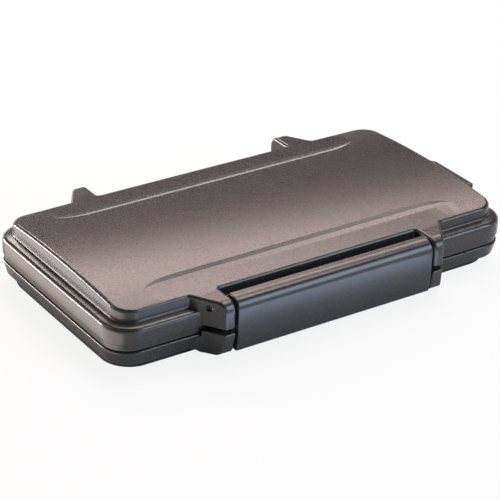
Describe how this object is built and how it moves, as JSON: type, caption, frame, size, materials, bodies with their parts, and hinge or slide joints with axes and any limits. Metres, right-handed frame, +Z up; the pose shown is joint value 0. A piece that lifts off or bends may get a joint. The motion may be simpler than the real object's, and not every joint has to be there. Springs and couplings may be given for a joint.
{
  "type": "memory card case",
  "caption": "Flat hinged hard case with a stepped rim, crowned lid, long front latch bar, rim seal and moulded rubber liners with card pockets.",
  "frame": {"origin": "middle of the foot that the closed case stands on", "axes": "+X along the case's length to the right seen from the latch, +Y from the latch to the hinge, +Z up through the lid"},
  "size_m": [0.142, 0.0882, 0.0209],
  "materials": {
    "shell_plastic": "fine moulded texture",
    "latch_plastic": "satin moulded",
    "pin_steel": "ground",
    "seal_rubber": "soft matt",
    "insert_rubber": "soft matt"
  },
  "bodies": {
    "base": {"base_shell": "shell_plastic", "base_insert": "insert_rubber"},
    "lid": {"lid_shell": "shell_plastic", "lid_insert": "insert_rubber", "lid_seal": "seal_rubber", "latch_pin_left": "pin_steel", "latch_pin_right": "pin_steel", "hinge_pin_left": "pin_steel", "hinge_pin_right": "pin_steel"},
    "latch_bar": {"latch": "latch_plastic"}
  },
  "joints": [
    {"name": "lid_hinge", "type": "hinge", "parent": "base", "child": "lid", "pos_m": [0, 0.0409, 0.008], "axis": [-1, 0, 0], "range_deg": [0, 120]},
    {"name": "latch_pivot", "type": "hinge", "parent": "lid", "child": "latch_bar", "pos_m": [0, -0.0395, 0.01645], "axis": [-1, 0, 0], "range_deg": [0, 95]}
  ]
}
